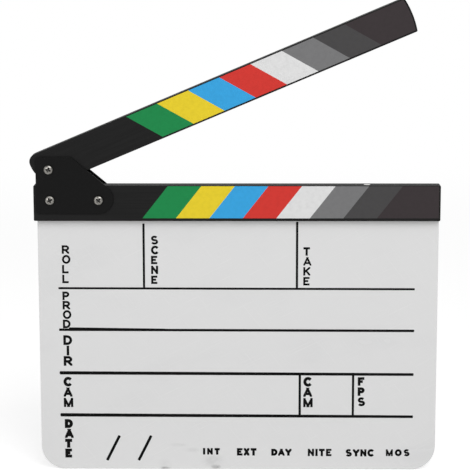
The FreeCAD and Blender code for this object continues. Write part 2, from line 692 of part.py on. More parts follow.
doc.recompute()
for item in doc.Objects:
    if "Invalid" in item.State or "Error" in item.State:
        raise RuntimeError(f"{item.Label} failed: {item.State}")
    if item.TypeId in ("PartDesign::Pocket", "PartDesign::PolarPattern"):
        if item.Shape.Volume >= item.BaseFeature.Shape.Volume:
            raise RuntimeError(f"{item.Label} removes nothing")
for item in subparts:
    if item.Shape.isNull() or not item.Shape.isValid():
        raise RuntimeError(f"{item.Label} has no valid shape")

os.makedirs("parts", exist_ok=True)
for item in subparts:
    item.Shape.exportStep(f"parts/{item.Label}.step")
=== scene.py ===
import json
import math

import bmesh
import bpy
from mathutils import Matrix, Vector
from mathutils.geometry import delaunay_2d_cdt


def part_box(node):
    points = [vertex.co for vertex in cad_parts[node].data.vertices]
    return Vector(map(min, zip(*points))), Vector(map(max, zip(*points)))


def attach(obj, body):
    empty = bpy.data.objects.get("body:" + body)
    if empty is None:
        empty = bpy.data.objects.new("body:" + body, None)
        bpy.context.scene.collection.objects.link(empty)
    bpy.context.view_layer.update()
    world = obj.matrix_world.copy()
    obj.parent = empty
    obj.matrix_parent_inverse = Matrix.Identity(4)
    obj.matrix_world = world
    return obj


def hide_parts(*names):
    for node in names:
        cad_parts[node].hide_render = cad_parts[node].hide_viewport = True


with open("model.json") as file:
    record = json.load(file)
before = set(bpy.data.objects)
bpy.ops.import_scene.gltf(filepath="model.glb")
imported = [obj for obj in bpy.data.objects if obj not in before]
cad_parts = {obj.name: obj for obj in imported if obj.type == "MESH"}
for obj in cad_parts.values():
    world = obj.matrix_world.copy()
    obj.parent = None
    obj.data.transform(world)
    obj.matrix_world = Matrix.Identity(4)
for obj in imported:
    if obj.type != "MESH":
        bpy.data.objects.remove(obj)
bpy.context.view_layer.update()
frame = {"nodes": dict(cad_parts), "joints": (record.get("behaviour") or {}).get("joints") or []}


# Writing board: one sheet of white acrylic, sawn to size with rounded lower corners and broken edges.
# Its face is glossy, so that marker wipes off. Wiping has left faint smears and hairline rubs, and old
# marks have stained it along the bottom.

MM = 0.001
BOARD_WHITE = (0.76, 0.76, 0.76, 1)
BOARD_SMEARED = (0.62, 0.62, 0.63, 1)
BOARD_STAIN = (0.24, 0.24, 0.24, 1)
BOARD_SAWN_EDGE = (0.66, 0.67, 0.68, 1)
BOARD_ROUGHNESS = 0.2
SMEAR_ROUGHENS, RUB_ROUGHENS, SAWING_ROUGHENS = 0.12, 0.10, 0.25
SMEARS_PER_METRE = 26
SMEAR_RUN_SHARE = 0.45
SMEAR_TINT = 0.22
RUBS_PER_METRE = 2400
RUB_RUN_SHARE = 0.012
RUB_DIRECTIONS = (0.45, -0.9)
SHEET_RIPPLES_PER_METRE = 30
SHEET_RIPPLE_STRENGTH = 0.05

# Old marks: centre from the board's left edge and below the lower stick, half sizes, and strength.
OLD_MARKS = (
    (93.2 * MM, 190.6 * MM, 5.5 * MM, 1.8 * MM, 1.0),
    (93.2 * MM, 187.0 * MM, 7.0 * MM, 4.5 * MM, 0.12),
    (131.8 * MM, 189.4 * MM, 5.0 * MM, 2.6 * MM, 0.8),
    (129.6 * MM, 184.4 * MM, 11.0 * MM, 7.0 * MM, 0.22),
    (103.1 * MM, 172.3 * MM, 9.5 * MM, 2.0 * MM, 0.16),
    (113.7 * MM, 176.2 * MM, 9.0 * MM, 2.6 * MM, 0.13),
)
OLD_MARK_PATCHES_PER_METRE = 260
OLD_MARK_THINNEST = 0.45
OLD_MARK_FADE = (1.0, 0.1)

# Levels of noise at which a mark starts to show and shows fully.
NOISE_MIDDLE = (0.3, 0.7)
SMEAR_SHOWS = (0.5, 0.8)
RUB_SHOWS = (0.66, 0.74)

# How far a surface faces the rear, from -1 to 1: where a sawn edge and the front begin and are full.
SAWN_FACING = (0.9, 0.3)
FRONT_FACING = (-0.5, -0.9)

board_low, board_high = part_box("writing_board")
face_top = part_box("lower_stick")[0].z


def on_board(across, below):
    """Place on the board's face, from its left edge and below the lower stick."""
    return Vector((board_low.x + across, board_low.y, face_top - below))


def wire(tree, value, socket):
    """Feed a socket from another node, or set it."""
    if isinstance(value, bpy.types.NodeSocket):
        tree.links.new(value, socket)
    else:
        socket.default_value = value


def add(tree, kind, feeds=None, **settings):
    """Add a shader node, feed its inputs and give its first output."""
    made = tree.nodes.new("ShaderNode" + kind)
    for name, value in settings.items():
        setattr(made, name, value)
    for socket, value in (feeds or {}).items():
        wire(tree, value, made.inputs[socket])
    return made.outputs[0]


def calc(tree, operation, first, second=0.0):
    """Result of a sum on one or two values."""
    return add(tree, "Math", {0: first, 1: second}, operation=operation)


def ramp(tree, value, start, end, low=0.0, high=1.0):
    """Smooth step from low to high while the value goes from start to end."""
    feeds = {"Value": value, "From Min": start, "From Max": end, "To Min": low, "To Max": high}
    return add(tree, "MapRange", feeds, interpolation_type="SMOOTHSTEP")


def mixed(tree, share, first, second):
    """Colour part of the way from the first to the second, on the Mix node's colour sockets."""
    mix = tree.nodes.new("ShaderNodeMix")
    mix.data_type = "RGBA"
    for index, value in ((0, share), (6, first), (7, second)):
        wire(tree, value, mix.inputs[index])
    return mix.outputs[2]


def noise(tree, place, scale, detail=2.0):
    """Soft cloud with a number of spots to the metre."""
    return add(tree, "TexNoise", {"Vector": place, "Scale": scale, "Detail": detail})


def spread(tree, cloud, low=0.0, high=1.0):
    """Noise drawn out from low to high, since most of it lies near its middle."""
    return ramp(tree, cloud, *NOISE_MIDDLE, low, high)


def bumped(tree, height, strength, depth):
    """Normals of a surface that a height raises by up to a depth."""
    return add(tree, "Bump", {"Strength": strength, "Distance": depth, "Height": height})


def stretched(tree, place, x, y, z):
    """Place with each of its axes scaled."""
    return add(tree, "VectorMath", {0: place, 1: (x, y, z)}, operation="MULTIPLY")


def own_place(tree):
    """Place on the piece in its own frame."""
    return add(tree, "TexCoord").node.outputs["Object"]


def new_finish(name, constants):
    """Material with one shader, whose plain values are set on its own sockets."""
    material = bpy.data.materials.new(name)
    material.use_nodes = True
    tree = material.node_tree
    shader = tree.nodes["Principled BSDF"]
    for socket, value in constants.items():
        shader.inputs[socket].default_value = value
    return material, tree, shader.inputs


def new_group(name, inputs, outputs):
    """Node group; gives its tree, its inputs by name and its output sockets by name."""
    tree = bpy.data.node_groups.new(name, "ShaderNodeTree")
    for label, kind in inputs.items():
        tree.interface.new_socket(label, in_out="INPUT", socket_type="NodeSocket" + kind)
    for label in outputs:
        tree.interface.new_socket(label, in_out="OUTPUT", socket_type="NodeSocketFloat")
    return tree, tree.nodes.new("NodeGroupInput").outputs, tree.nodes.new("NodeGroupOutput").inputs


def use_group(tree, group, feeds):
    """Put a group in a material and give its outputs by name."""
    placed = tree.nodes.new("ShaderNodeGroup")
    placed.node_tree = group
    for socket, value in feeds.items():
        wire(tree, value, placed.inputs[socket])
    return placed.outputs


def dress(material, *names):
    """Put a material on CAD nodes."""
    for name in names:
        frame["nodes"][name].material_slots[0].material = material


# Handling leaves two marks on any smooth face: broad smears and thin straight rubs.
handling_marks, given, out = new_group(
    "handling_marks",
    {"Place": "Vector", "Smear Scale": "Float", "Rub Scale": "Float"},
    ("Smear", "Rub"),
)
wiped = stretched(handling_marks, given["Place"], SMEAR_RUN_SHARE, 1, 1)
smear = noise(handling_marks, wiped, given["Smear Scale"], detail=4)
wire(handling_marks, ramp(handling_marks, smear, *SMEAR_SHOWS), out["Smear"])
rubs = []
for direction in RUB_DIRECTIONS:
    feeds = {"Vector": given["Place"], "Angle": direction}
    turned = add(handling_marks, "VectorRotate", feeds, rotation_type="Y_AXIS")
    drawn_out = stretched(handling_marks, turned, RUB_RUN_SHARE, 1, 1)
    streak = noise(handling_marks, drawn_out, given["Rub Scale"], detail=1)
    rubs.append(ramp(handling_marks, streak, *RUB_SHOWS))
wire(handling_marks, calc(handling_marks, "MAXIMUM", *rubs), out["Rub"])

white_acrylic, tree, sockets = new_finish("white_acrylic", {"IOR": 1.49, "Specular IOR Level": 0.4})
place = own_place(tree)
marks = use_group(
    tree,
    handling_marks,
    {"Place": place, "Smear Scale": SMEARS_PER_METRE, "Rub Scale": RUBS_PER_METRE},
)
facing = add(tree, "SeparateXYZ", {0: add(tree, "TexCoord").node.outputs["Normal"]}).node.outputs["Y"]
sawn = ramp(tree, calc(tree, "ABSOLUTE", facing), *SAWN_FACING)
written = ramp(tree, facing, *FRONT_FACING)
uneven = spread(tree, noise(tree, place, OLD_MARK_PATCHES_PER_METRE, detail=3), OLD_MARK_THINNEST)
patchy = calc(tree, "MULTIPLY", uneven, written)
colour = mixed(tree, calc(tree, "MULTIPLY", marks["Smear"], SMEAR_TINT), BOARD_WHITE, BOARD_SMEARED)
for across, below, half_width, half_height, strength in OLD_MARKS:
    offset = add(tree, "VectorMath", {0: place, 1: on_board(across, below)}, operation="SUBTRACT")
    shaped = stretched(tree, offset, 1 / half_width, 0, 1 / half_height)
    reach = add(tree, "VectorMath", {0: shaped}, operation="LENGTH").node.outputs["Value"]
    stain = calc(tree, "MULTIPLY", ramp(tree, reach, *OLD_MARK_FADE, high=strength), patchy)
    colour = mixed(tree, stain, colour, BOARD_STAIN)
wire(tree, mixed(tree, sawn, colour, BOARD_SAWN_EDGE), sockets["Base Color"])
rougheners = (
    (marks["Smear"], SMEAR_ROUGHENS),
    (marks["Rub"], RUB_ROUGHENS),
    (sawn, SAWING_ROUGHENS),
)
roughness = BOARD_ROUGHNESS
for mark, more in rougheners:
    roughness = calc(tree, "ADD", calc(tree, "MULTIPLY", mark, more), roughness)
wire(tree, roughness, sockets["Roughness"])
ripple = noise(tree, place, SHEET_RIPPLES_PER_METRE, detail=1)
wire(tree, bumped(tree, ripple, SHEET_RIPPLE_STRENGTH, MM), sockets["Normal"])
dress(white_acrylic, "writing_board")


# Field lines: the ruled grid that divides the board into fields, and the two strokes that part day,
# month and year. They are screen printed in black ink, which stands a few hundredths of a millimetre
# proud of the sheet. The lower rows took more ink at the left.

INK_HEIGHT = 0.03 * MM
INK_BLACK = (0.003, 0.003, 0.003, 1)
INK_RUBBED = (0.02, 0.02, 0.02, 1)
INK_RUB_SHARE = 0.6
INK_GRAIN_PER_METRE = 900
INK_ROUGHNESS = (0.42, 0.6)
INK_MERGE_MM = 1e-5
WELD_REACH = 0.001 * MM
LINE_END_STEPS = 6
LINE_END_SHARE = 0.4

# Rows: how far below the lower stick and how wide, at the left end and then at the right end.
ROW_LEFT, ROW_RIGHT = 15.0 * MM, 279.9 * MM
FIELD_ROWS = (
    (51.5 * MM, 1.6 * MM, 52.0 * MM, 1.6 * MM),
    (83.2 * MM, 1.9 * MM, 83.75 * MM, 1.9 * MM),
    (116.4 * MM, 2.55 * MM, 117.3 * MM, 2.1 * MM),
    (149.0 * MM, 2.6 * MM, 149.95 * MM, 2.1 * MM),
)
# One run of the second row is heavier and tapers off: its left and then its right end, given alike.
HEAVY_LEFT = (22.5 * MM, 82.8 * MM, 2.8 * MM)
HEAVY_RIGHT = (94.0 * MM, 83.25 * MM, 1.9 * MM)

# Columns: place across, where they start and end below the lower stick, and width.
FIELD_COLUMNS = (
    (78.65 * MM, 2.8 * MM, 51.5 * MM, 1.67 * MM),
    (192.5 * MM, 1.5 * MM, 51.8 * MM, 1.72 * MM),
    (195.0 * MM, 117.0 * MM, 149.6 * MM, 1.82 * MM),
    (235.0 * MM, 117.1 * MM, 149.75 * MM, 1.72 * MM),
)
# Date strokes: place across at the top; they lean to the left below.
DATE_STROKES = (58.9 * MM, 82.8 * MM)
DATE_STROKE_TOP, DATE_STROKE_BOTTOM = 165.4 * MM, 184.1 * MM
DATE_STROKE_LEAN = 9.3 * MM
DATE_STROKE_WIDTH = 2.1 * MM


def box_ring(left, right, top, bottom):
    """Corners of an upright box on the board."""
    return [(left, bottom), (right, bottom), (right, top), (left, top)]


def line_ring(start, end, width, end_width):
    """Places round a straight line with blunt round ends, which may taper."""
    first, last = Vector(start), Vector(end)
    along = (last - first).normalized()
    ring = []
    for centre, forward, across in ((last, along, end_width), (first, -along, width)):
        beside = Vector((-forward.y, forward.x))
        for step in range(LINE_END_STEPS + 1):
            angle = math.pi * step / LINE_END_STEPS
            outward = forward * (LINE_END_SHARE * math.sin(angle)) - beside * math.cos(angle)
            ring.append(centre + outward * (across / 2))
    return ring


def lay_ink(print_mesh, limits, shapes):
    """Raise one film of ink, within limits, wherever one of the shapes lies; shapes may overlap.

    Each is a ring of places, from the board's left edge and below the lower stick.
    """
    places, rings = [], []
    for shape in [limits] + shapes:
        flat = [Vector((across, -below)) / MM for across, below in shape]
        area = sum(here.cross(after) for here, after in zip(flat, flat[1:] + flat[:1]))
        rings.append(list(range(len(places), len(places) + len(flat))))
        places += flat if area > 0 else flat[::-1]
    met, _, triangles, _, _, origins = delaunay_2d_cdt(places, [], rings, 1, INK_MERGE_MM)
    corners = [print_mesh.verts.new(on_board(spot.x * MM, -spot.y * MM)) for spot in met]
    film = []
    for triangle, origin in zip(triangles, origins):
        if 0 in origin and len(origin) > 1:
            film.append(print_mesh.faces.new([corners[index] for index in triangle]))
    raised = bmesh.ops.extrude_face_region(print_mesh, geom=film)
    moved = [item for item in raised["geom"] if isinstance(item, bmesh.types.BMVert)]
    bmesh.ops.translate(print_mesh, verts=moved, vec=(0, -INK_HEIGHT, 0))
    bare = [corner for corner in corners if not corner.link_faces]
    bmesh.ops.delete(print_mesh, geom=bare, context="VERTS")


def new_object(name, built):
    """Object from built geometry, with coinciding corners welded and faces turned outwards."""
    bmesh.ops.remove_doubles(built, verts=built.verts, dist=WELD_REACH)
    bmesh.ops.recalc_face_normals(built, faces=built.faces)
    mesh = bpy.data.meshes.new(name)
    built.to_mesh(mesh)
    built.free()
    made = bpy.data.objects.new(name, mesh)
    bpy.context.collection.objects.link(made)
    return made


def finish_piece(piece, material, body):
    """Give a piece its material and let it ride on a body."""
    piece.data.materials.append(material)
    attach(piece, body)


black_ink, tree, sockets = new_finish("black_ink", {"Specular IOR Level": 0.05})
place = own_place(tree)
rub = use_group(tree, handling_marks, {"Place": place, "Rub Scale": RUBS_PER_METRE})["Rub"]
thinned = calc(tree, "MULTIPLY", rub, INK_RUB_SHARE)
wire(tree, mixed(tree, thinned, INK_BLACK, INK_RUBBED), sockets["Base Color"])
grain = noise(tree, place, INK_GRAIN_PER_METRE)
wire(tree, spread(tree, grain, *INK_ROUGHNESS), sockets["Roughness"])

board_face = box_ring(0.0, board_high.x - board_low.x, 0.0, face_top - board_low.z)
rules = []
for left_below, left_width, right_below, right_width in FIELD_ROWS:
    rules.append(line_ring((ROW_LEFT, left_below), (ROW_RIGHT, right_below), left_width, right_width))
rules.append(line_ring(HEAVY_LEFT[:2], HEAVY_RIGHT[:2], HEAVY_LEFT[2], HEAVY_RIGHT[2]))
for across, start, end, width in FIELD_COLUMNS:
    rules.append(line_ring((across, start), (across, end), width, width))
lines = bmesh.new()
lay_ink(lines, board_face, rules)
finish_piece(new_object("field_lines", lines), black_ink, "slate")

slants = []
for across in DATE_STROKES:
    foot = (across - DATE_STROKE_LEAN, DATE_STROKE_BOTTOM)
    slants.append(line_ring((across, DATE_STROKE_TOP), foot, DATE_STROKE_WIDTH, DATE_STROKE_WIDTH))
strokes = bmesh.new()
lay_ink(strokes, board_face, slants)
finish_piece(new_object("date_strokes", strokes), black_ink, "slate")


# Field captions: the plain words that every film slate carries for what is written in each field. They
# are printed in the same ink, as capitals set one under another beside the field, and as one row of
# choices to ring along the bottom.

BOW_STEPS = 14
PEN_LAP_SHARE = 0.07


def bow(x, y, half_width, half_height, start, end):
    """Points along part of an oval, between two angles given in turns."""
    points = []
    for step in range(BOW_STEPS + 1):
        angle = math.tau * (start + (end - start) * step / BOW_STEPS)
        points.append((x + half_width * math.cos(angle), y + half_height * math.sin(angle)))
    return points


STEM = [(0, 0), (0, 1)]
FAR_STEM = [(1, 0), (1, 1)]
TOP_BAR = [(0, 1), (1, 1)]
BASE_BAR = [(0, 0), (1, 0)]
UPPER_BOWL = [(0, 1)] + bow(0.55, 0.72, 0.45, 0.28, 0.25, -0.25) + [(0, 0.44)]

# Each capital: its width as a share of its height, and the pen's strokes over a unit square.
CAPITALS = {
    "A": (0.93, [[(0, 0), (0.5, 1)], [(0.5, 1), (1, 0)], [(0.2, 0.24), (0.8, 0.24)]]),
    "C": (0.97, [bow(0.52, 0.5, 0.52, 0.5, 0.11, 0.89)]),
    "D": (0.88, [STEM, [(0, 1)] + bow(0.4, 0.5, 0.6, 0.5, 0.25, -0.25) + [(0, 0)]]),
    "E": (0.73, [STEM, TOP_BAR, [(0, 0.52), (0.9, 0.52)], BASE_BAR]),
    "F": (0.75, [STEM, TOP_BAR, [(0, 0.48), (0.9, 0.48)]]),
    "I": (0.0, [STEM]),
    "K": (0.81, [STEM, [(0, 0.36), (1, 1)], [(0.35, 0.6), (1, 0)]]),
    "L": (0.75, [STEM, BASE_BAR]),
    "M": (1.0, [STEM, [(0, 1), (0.5, 0)], [(0.5, 0), (1, 1)], FAR_STEM]),
    "N": (0.83, [STEM, [(0, 1), (1, 0)], FAR_STEM]),
    "O": (1.0, [bow(0.5, 0.5, 0.5, 0.5, 0, 1)]),
    "P": (0.79, [STEM, UPPER_BOWL]),
    "R": (0.86, [STEM, UPPER_BOWL, [(0.45, 0.44), (1, 0)]]),
    "S": (0.86, [bow(0.5, 0.75, 0.46, 0.25, 0.1, 0.75) + bow(0.5, 0.25, 0.5, 0.25, 0.25, -0.42)[1:]]),
    "T": (0.76, [TOP_BAR, [(0.5, 0), (0.5, 1)]]),
    "X": (0.74, [[(0, 0), (1, 1)], [(0, 1), (1, 0)]]),
    "Y": (0.90, [[(0, 1), (0.5, 0.45)], [(0.5, 0.45), (1, 1)], [(0.5, 0), (0.5, 0.5)]]),
}

# Crowded capitals are drawn with a finer pen, and round ones stand a little past the others.
PEN_SHARES = {"A": 0.85, "E": 0.9, "K": 0.9, "M": 0.78, "N": 0.9, "S": 0.9}
ROUND_CAPITALS = "COS"
OVERSHOOT_SHARE = 0.03

# Stacked words: left edge, top and bottom of the stack, height of a capital, width of the pen.
STACKED_CAPTIONS = (
    ("ROLL", 17.7 * MM, 19.0 * MM, 47.7 * MM, 6.4 * MM, 1.55 * MM),
    ("SCENE", 84.0 * MM, 11.9 * MM, 48.2 * MM, 6.3 * MM, 1.75 * MM),
    ("TAKE", 197.2 * MM, 20.3 * MM, 49.2 * MM, 6.4 * MM, 1.65 * MM),
    ("PROD", 17.6 * MM, 54.05 * MM, 82.05 * MM, 6.5 * MM, 1.6 * MM),
    ("DIR", 17.7 * MM, 87.45 * MM, 110.95 * MM, 7.5 * MM, 1.95 * MM),
    ("CAM", 17.25 * MM, 119.7 * MM, 142.9 * MM, 7.1 * MM, 2.25 * MM),
    ("DATE", 17.7 * MM, 152.3 * MM, 182.4 * MM, 7.0 * MM, 2.5 * MM),
    ("CAM", 197.65 * MM, 119.5 * MM, 142.7 * MM, 7.1 * MM, 2.25 * MM),
    ("FPS", 238.5 * MM, 119.4 * MM, 141.7 * MM, 6.6 * MM, 2.05 * MM),
)
# Words of the bottom row: left and right edge, top and bottom, width of the pen.
ROW_CAPTIONS = (
    ("INT", 122.0 * MM, 134.7 * MM, 174.75 * MM, 179.85 * MM, 1.75 * MM),
    ("EXT", 147.7 * MM, 162.5 * MM, 174.75 * MM, 180.55 * MM, 1.9 * MM),
    ("DAY", 173.65 * MM, 189.05 * MM, 175.2 * MM, 180.6 * MM, 1.9 * MM),
    ("NITE", 201.3 * MM, 219.2 * MM, 175.15 * MM, 180.85 * MM, 1.75 * MM),
    ("SYNC", 229.8 * MM, 251.7 * MM, 175.45 * MM, 181.05 * MM, 1.85 * MM),
    ("MOS", 260.3 * MM, 278.2 * MM, 175.45 * MM, 180.7 * MM, 1.75 * MM),
)


def capital_width(capital, height, pen):
    """Width of a capital, which is never less than the pen's."""
    return max(pen, CAPITALS[capital][0] * height)


def pen_shapes(stroke, width, height, pen):
    """Shapes that a pen leaves along a stroke.

    A straight stroke runs on where it ends on the square's border.
    """
    reach, rise = width - pen, height - pen
    shapes = []
    for ends in zip(stroke, stroke[1:]):
        here, after = (Vector((pen / 2 + x * reach, pen / 2 + y * rise)) for x, y in ends)
        along = (after - here).normalized() * pen
        beside = Vector((-along.y, along.x)) / 2
        laps = [1 if len(stroke) == 2 and not {0, 1}.isdisjoint(end) else PEN_LAP_SHARE for end in ends]
        here, after = here - along * laps[0], after + along * laps[1]
        shapes.append([here - beside, after - beside, after + beside, here + beside])
    return shapes


def print_capital(print_mesh, capital, left, bottom, height, pen):
    """Print one capital with its lower left corner at a place on the board."""
    width = capital_width(capital, height, pen)
    if capital in ROUND_CAPITALS:
        bottom += OVERSHOOT_SHARE * height
        height *= 1 + 2 * OVERSHOOT_SHARE
    shapes = []
    for stroke in CAPITALS[capital][1]:
        for shape in pen_shapes(stroke, width, height, pen * PEN_SHARES.get(capital, 1)):
            shapes.append([(left + x, bottom - y) for x, y in shape])
    lay_ink(print_mesh, box_ring(left, left + width, bottom - height, bottom), shapes)


captions = bmesh.new()
for word, left, top, bottom, height, pen in STACKED_CAPTIONS:
    pitch = (bottom - top - height) / (len(word) - 1)
    column = capital_width(word[0], height, pen)
    for index, capital in enumerate(word):
        indent = (column - pen) / 2 if capital == "I" else 0
        print_capital(captions, capital, left + indent, top + height + index * pitch, height, pen)
for word, left, right, top, bottom, pen in ROW_CAPTIONS:
    widths = [capital_width(capital, bottom - top, pen) for capital in word]
    space = (right - left - sum(widths)) / (len(word) - 1)
    for index, capital in enumerate(word):
        start = left + sum(widths[:index]) + index * space
        print_capital(captions, capital, start, bottom, bottom - top, pen)
finish_piece(new_object("field_captions", captions), black_ink, "slate")


# Adhesive: a thin set line of clear acrylic cement around the board's tongue in the lower stick's
# groove. Only its lower edges show, as a fine bead on each side of the sheet.

CEMENT = (0.62, 0.61, 0.57, 1)
CEMENT_CLOUDED = (0.74, 0.73, 0.70, 1)
DULL_SHOWS = (0.38, 0.72)

# Age dulls a bare surface in soft patches.
dull_patches, given, out = new_group(
    "dull_patches",
    {"Place": "Vector", "Patch Scale": "Float"},
    ("Dull",),
)
cloud = noise(dull_patches, given["Place"], given["Patch Scale"], detail=4)
wire(dull_patches, ramp(dull_patches, cloud, *DULL_SHOWS), out["Dull"])


def dulled(name, constants, patches_per_metre, colours, roughness):
    """Material that goes in patches from its first colour and roughness to its second."""
    material, tree, sockets = new_finish(name, constants)
    feeds = {"Place": own_place(tree), "Patch Scale": patches_per_metre}
    dull = use_group(tree, dull_patches, feeds)["Dull"]
    wire(tree, mixed(tree, dull, *colours), sockets["Base Color"])
    wire(tree, ramp(tree, dull, 0.0, 1.0, *roughness), sockets["Roughness"])
    return material


clear_cement = dulled(
    "clear_cement",
    {"IOR": 1.48},
    patches_per_metre=180,
    colours=(CEMENT, CEMENT_CLOUDED),
    roughness=(0.18, 0.4),
)
dress(clear_cement, "board_bond")


# Clap sticks: two hardwood bars, planed, rounded along their edges and painted matt black. The upper
# one swings on the pivot at its left end. A trace of the grain stands through the paint, and the paint
# is rubbed thin along the edges where hands and the other stick touch it.

STICK_BLACK = (0.0125, 0.0125, 0.0125, 1)
STICK_BLACK_SOFT = (0.016, 0.016, 0.016, 1)
STICK_RUBBED = (0.032, 0.031, 0.029, 1)
STICK_ROUGHNESS = (0.48, 0.6)
GRAIN_PER_METRE = 900
GRAIN_RUN_SHARE = 0.02
GRAIN_STRENGTH = 0.08
PORES_PER_METRE = 2700
PORE_SHOWS = (0.66, 0.78)
FINE_RELIEF = 0.05 * MM
STICK_RUB_WIDTH = 0.7 * MM
STICK_RUB_SHARE = 0.5
EDGE_TURN = (0.985, 0.9)
WEAR_PATCHES_PER_METRE = 160
WEAR_SHOWS = (0.45, 0.75)

clap = frame["joints"][0]
pivot = Vector(clap["pos_m"])
rest_opening = -math.radians(clap["range_deg"][0])

# Grain runs along a stick as long streaks, with short open pores between them.
painted_grain, given, out = new_group("painted_grain", {"Place": "Vector"}, ("Streak", "Pore"))
along_grain = stretched(painted_grain, given["Place"], GRAIN_RUN_SHARE, 1, 1)
streak = noise(painted_grain, along_grain, GRAIN_PER_METRE, detail=3)
wire(painted_grain, spread(painted_grain, streak), out["Streak"])
pore = noise(painted_grain, along_grain, PORES_PER_METRE, detail=1)
wire(painted_grain, ramp(painted_grain, pore, *PORE_SHOWS), out["Pore"])

# An edge wears where the surface turns sharply, in patches.
edge_wear, given, out = new_group("edge_wear", {"Place": "Vector", "Width": "Float"}, ("Wear",))
softened = add(edge_wear, "Bevel", {"Radius": given["Width"]}, samples=4)
surface = add(edge_wear, "NewGeometry").node.outputs["Normal"]
agreement = add(edge_wear, "VectorMath", {0: softened, 1: surface}, operation="DOT_PRODUCT").node
turn = ramp(edge_wear, agreement.outputs["Value"], *EDGE_TURN)
cloud = noise(edge_wear, given["Place"], WEAR_PATCHES_PER_METRE, detail=4)
patch = ramp(edge_wear, cloud, *WEAR_SHOWS)
wire(edge_wear, calc(edge_wear, "MULTIPLY", turn, patch), out["Wear"])


def between(tree, share, start, end):
    """Value part of the way from the start to the end."""
    return calc(tree, "ADD", calc(tree, "MULTIPLY", share, end - start), start)


def painted_stick(name, opening):
    """Matt black paint on a stick that is turned by an opening about the pivot."""
    material, tree, sockets = new_finish(name, {"Specular IOR Level": 0.06})
    place = own_place(tree)
    feeds = {"Vector": place, "Center": pivot, "Angle": opening}
    lengthwise = add(tree, "VectorRotate", feeds, rotation_type="Y_AXIS")
    grain = use_group(tree, painted_grain, {"Place": lengthwise})
    worn = use_group(tree, edge_wear, {"Place": place, "Width": STICK_RUB_WIDTH})["Wear"]
    colour = mixed(tree, grain["Streak"], STICK_BLACK, STICK_BLACK_SOFT)
    thin = calc(tree, "MULTIPLY", worn, STICK_RUB_SHARE)
    wire(tree, mixed(tree, thin, colour, STICK_RUBBED), sockets["Base Color"])
    wire(tree, between(tree, grain["Streak"], *STICK_ROUGHNESS), sockets["Roughness"])
    relief = calc(tree, "SUBTRACT", grain["Streak"], grain["Pore"])
    wire(tree, bumped(tree, relief, GRAIN_STRENGTH, FINE_RELIEF), sockets["Normal"])
    return material


dress(painted_stick("lower_stick_paint", 0.0), "lower_stick")
dress(painted_stick("upper_stick_paint", rest_opening), "upper_stick")


# Colour stripes: eight slanted bands of satin vinyl film on each stick's face, green, yellow, blue, red
# and white and then three greys. They are cut edge to edge and pressed on, and lean opposite ways, so
# that shut sticks show chevrons.

FILM_COLOURS = {
    "green": (0.010, 0.240, 0.066, 1),
    "yellow": (0.830, 0.640, 0.027, 1),
    "blue": (0.040, 0.380, 0.763, 1),
    "red": (0.660, 0.040, 0.031, 1),
    "white": (0.769, 0.769, 0.769, 1),
    "grey": (0.190, 0.190, 0.193, 1),
    "dark_grey": (0.061, 0.059, 0.060, 1),
    "black": (0.039, 0.031, 0.033, 1),
}
FILM_SHADE_SHARE = 0.82
FILM_MOTTLE_SHARE = 0.35
FILM_MOTTLE_PER_METRE = 320
MOTTLE_SHOWS = (0.35, 0.75)
FILM_PEEL_PER_METRE = 1500
FILM_PEEL_STRENGTH = 0.06
FILM_ROUGHNESS, FILM_RUBBED_ROUGHNESS = 0.45, 0.35

# Film shows a soft mottle in its colour and a fine peel in its surface.
vinyl_film, given, out = new_group("vinyl_film", {"Place": "Vector"}, ("Mottle", "Peel"))
mottle = noise(vinyl_film, given["Place"], FILM_MOTTLE_PER_METRE, detail=4)
wire(vinyl_film, ramp(vinyl_film, mottle, *MOTTLE_SHOWS), out["Mottle"])
wire(vinyl_film, noise(vinyl_film, given["Place"], FILM_PEEL_PER_METRE, detail=1), out["Peel"])

for colour_name, film_colour in FILM_COLOURS.items():
    film, tree, sockets = new_finish(f"{colour_name}_film", {"Specular IOR Level": 0.15})
    place = own_place(tree)
    sheet = use_group(tree, vinyl_film, {"Place": place})
    rub = use_group(tree, handling_marks, {"Place": place, "Rub Scale": RUBS_PER_METRE})["Rub"]
    shade = tuple(channel * FILM_SHADE_SHARE for channel in film_colour[:3]) + (1,)
    uneven = calc(tree, "MULTIPLY", sheet["Mottle"], FILM_MOTTLE_SHARE)
    wire(tree, mixed(tree, uneven, film_colour, shade), sockets["Base Color"])
    wire(tree, between(tree, rub, FILM_ROUGHNESS, FILM_RUBBED_ROUGHNESS), sockets["Roughness"])
    wire(tree, bumped(tree, sheet["Peel"], FILM_PEEL_STRENGTH, FINE_RELIEF), sockets["Normal"])
    dress(film, f"lower_stripe_{colour_name}", f"upper_stripe_{colour_name}")


# Hinge plates: two plates of thin steel, blanked to one outline with their outer edges dulled, and
# powder coated black. One lies on each side of the sticks. The coat has a fine grain and is thin along
# the edges.

PLATE_BLACK = (0.003, 0.003, 0.003, 1)
PLATE_BLACK_SOFT = (0.005, 0.005, 0.005, 1)
PLATE_RUBBED = (0.02, 0.02, 0.02, 1)
PLATE_ROUGHNESS, PLATE_SMEARED_ROUGHNESS = 0.46, 0.36
PLATE_SMEARS_PER_METRE = 90
PLATE_RUB_WIDTH = 0.25 * MM
PLATE_RUB_SHARE = 0.4
POWDER_PER_METRE = 2200
POWDER_STRENGTH = 0.25

